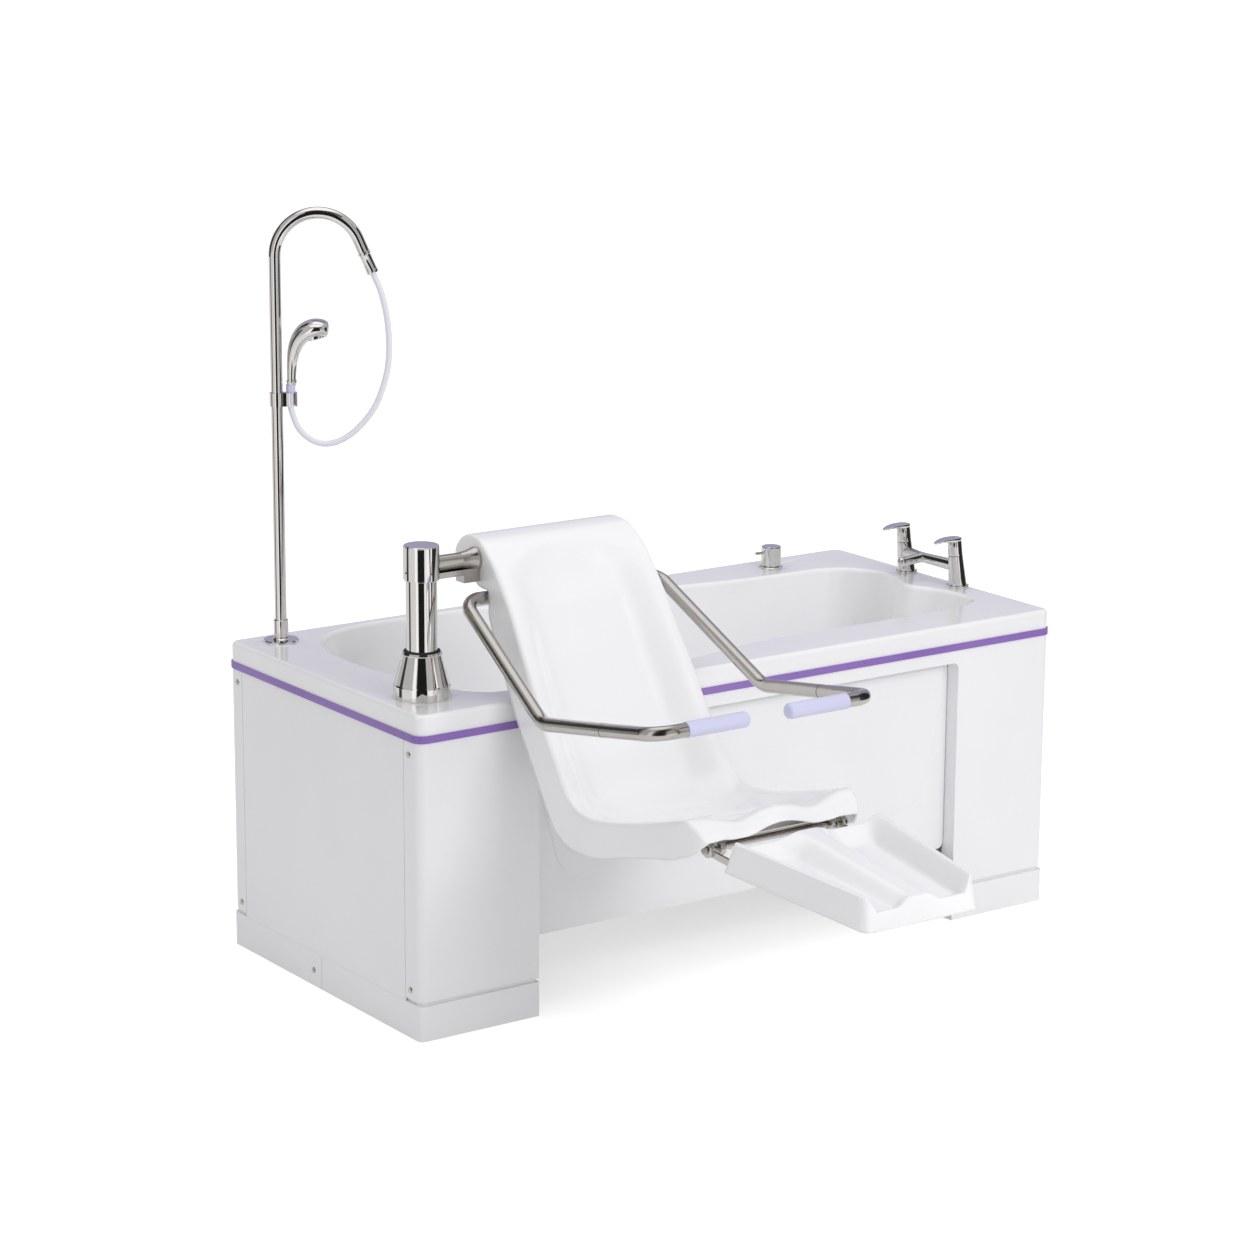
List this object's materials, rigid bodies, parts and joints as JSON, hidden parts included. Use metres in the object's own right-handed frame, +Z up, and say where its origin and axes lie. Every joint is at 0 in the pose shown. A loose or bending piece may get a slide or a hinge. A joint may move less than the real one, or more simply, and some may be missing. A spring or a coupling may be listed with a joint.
{
  "type": "assisted bath",
  "caption": "White assisted bath with knee recess, coloured trim band, lifting and swivelling moulded seat with armrests and footrest, bath filler, diverter and shower on a swan-neck riser.",
  "frame": {"origin": "on the floor, in the middle of the bath's own footprint (the seat stands outside it)", "axes": "+X along the bath towards the taps, +Y across it away from the seat, +Z up"},
  "size_m": [1.656, 1.8235, 1.5966],
  "materials": {
    "shell_white": "glossy moulded white",
    "panel_white": "satin white sheet",
    "trim_purple": "satin purple",
    "seat_white": "glossy moulded white",
    "frame_steel": "primed steel tube",
    "dark_rubber": "matte rubber",
    "dark_plastic": "matte dark plastic",
    "chrome": "polished chrome plate",
    "stainless": "fine brushed stainless steel",
    "brass": "plain machined brass",
    "grip_lilac": "soft pale lilac sleeve",
    "hose_clear": "translucent pale hose"
  },
  "bodies": {
    "bath": {"tub": "shell_white", "trim_band": "trim_purple", "surround_near": "panel_white", "surround_far": "panel_white", "recess_panel_near": "panel_white", "recess_panel_far": "panel_white", "end_panel_head": "panel_white", "end_panel_foot": "panel_white", "plinth_head_near": "panel_white", "plinth_head_far": "panel_white", "plinth_foot_near": "panel_white", "plinth_foot_far": "panel_white", "panel_screws": "stainless", "frame_head": "frame_steel", "frame_foot": "frame_steel", "frame_rails": "frame_steel", "levelling_feet": "dark_rubber", "shell_pads": "dark_rubber", "waste": "chrome", "trap": "dark_plastic", "bell_collar": "chrome", "column_guide": "frame_steel", "lift_base": "frame_steel", "lift_drive": "frame_steel", "riser_base": "chrome", "riser_tube": "chrome", "riser_tail": "brass", "hose_connector": "chrome", "hose": "hose_clear", "filler_body": "chrome", "filler_tails": "brass", "diverter_base": "chrome"},
    "lift": {"lift_column": "chrome", "lift_rod": "stainless"},
    "seat": {"swivel_head": "chrome", "grub_screws": "stainless", "arm_tube": "stainless", "arm_bracket": "stainless", "seat_frame": "stainless", "pivot_bar": "stainless", "seat_shell": "seat_white", "seat_drain": "seat_white", "hinge_rod": "stainless", "front_strip": "stainless"},
    "rest_left": {"armrest_left": "stainless"},
    "rest_right": {"armrest_right": "stainless"},
    "end_left": {"rest_end_left": "stainless", "grip_left": "grip_lilac"},
    "end_right": {"rest_end_right": "stainless", "grip_right": "grip_lilac"},
    "tray": {"footrest": "seat_white", "footrest_hinge": "stainless"},
    "shower": {"holder": "chrome", "hose_nut": "grip_lilac", "handset": "chrome", "spray_face": "dark_plastic"},
    "tap_hot": {"lever_hot": "chrome"},
    "tap_cold": {"lever_cold": "chrome"},
    "diverter": {"diverter_knob": "chrome"}
  },
  "joints": [
    {"name": "seat_lift", "type": "slide", "parent": "bath", "child": "lift", "axis": [0, 0, 1], "range_m": [-0.02, 0.4]},
    {"name": "seat_swivel", "type": "hinge", "parent": "lift", "child": "seat", "pos_m": [-0.7325, -0.248, 0.915], "axis": [0, 0, 1], "range_deg": [-90, 0]},
    {"name": "armrest_left_fold", "type": "hinge", "parent": "seat", "child": "rest_left", "pos_m": [-0.62, -0.282, 0.867], "axis": [-1, 0, 0], "range_deg": [0, 95]},
    {"name": "armrest_right_fold", "type": "hinge", "parent": "seat", "child": "rest_right", "pos_m": [-0.22, -0.282, 0.867], "axis": [-1, 0, 0], "range_deg": [0, 95]},
    {"name": "grip_left_swivel", "type": "hinge", "parent": "rest_left", "child": "end_left", "pos_m": [-0.68, -0.808, 0.723], "axis": [0.0302, -0.9873, 0.1561], "range_deg": [0, 90]},
    {"name": "grip_right_swivel", "type": "hinge", "parent": "rest_right", "child": "end_right", "pos_m": [-0.16, -0.808, 0.723], "axis": [0.0302, 0.9873, -0.1561], "range_deg": [0, 90]},
    {"name": "footrest_tilt", "type": "hinge", "parent": "seat", "child": "tray", "pos_m": [-0.42, -1.003, 0.521], "axis": [1, 0, 0], "range_deg": [-25, 70]},
    {"name": "holder_slide", "type": "slide", "parent": "bath", "child": "shower", "axis": [0, 0, 1], "range_m": [-0.2, 0.15], "deforming": ["hose"]},
    {"name": "hot_lever", "type": "hinge", "parent": "bath", "child": "tap_hot", "pos_m": [0.7995, 0.091, 0.675], "axis": [-0.1219, 0, 0.9925], "range_deg": [-90, 0]},
    {"name": "cold_lever", "type": "hinge", "parent": "bath", "child": "tap_cold", "pos_m": [0.7995, -0.091, 0.675], "axis": [-0.1219, 0, 0.9925], "range_deg": [0, 90]},
    {"name": "diverter_turn", "type": "hinge", "parent": "bath", "child": "diverter", "pos_m": [0.565, 0.301, 0.675], "axis": [0, 0, 1], "range_deg": [-60, 60]}
  ]
}
